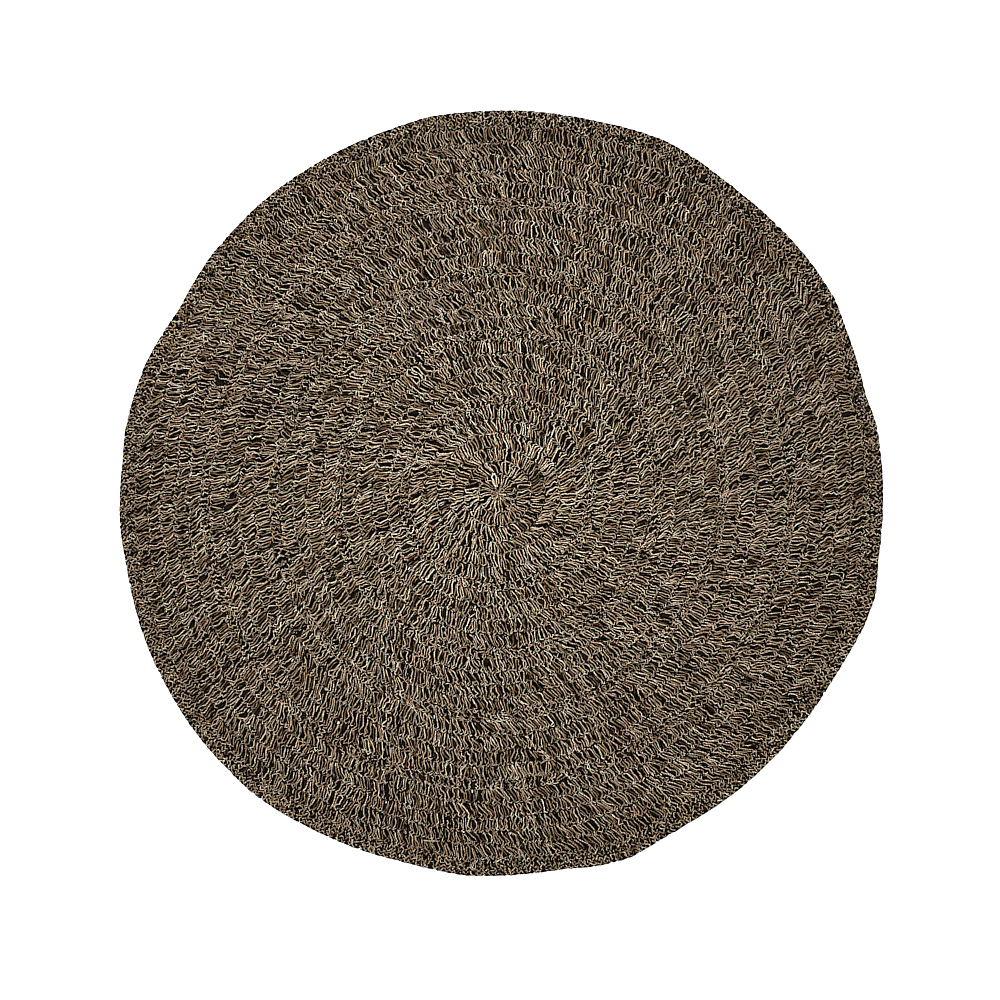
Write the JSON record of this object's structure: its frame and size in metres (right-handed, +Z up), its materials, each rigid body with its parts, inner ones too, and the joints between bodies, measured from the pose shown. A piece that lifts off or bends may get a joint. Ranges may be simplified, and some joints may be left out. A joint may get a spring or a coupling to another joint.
{
  "type": "round crocheted seagrass rug",
  "caption": "Flat round floor rug crocheted from the middle out in natural and black seagrass twine, with low ribbed rounds and a tighter edging.",
  "frame": {"origin": "middle of the rug's box, on the underside that lies on the floor", "axes": "+Z up, out of the face that is walked on; +X to the right and +Y away from the viewer as the rug lies in the picture"},
  "size_m": [1.996, 2.002, 0.01],
  "materials": {
    "seagrass": "matte natural and black twine"
  },
  "bodies": {
    "root": {"rug": "seagrass"}
  },
  "joints": []
}
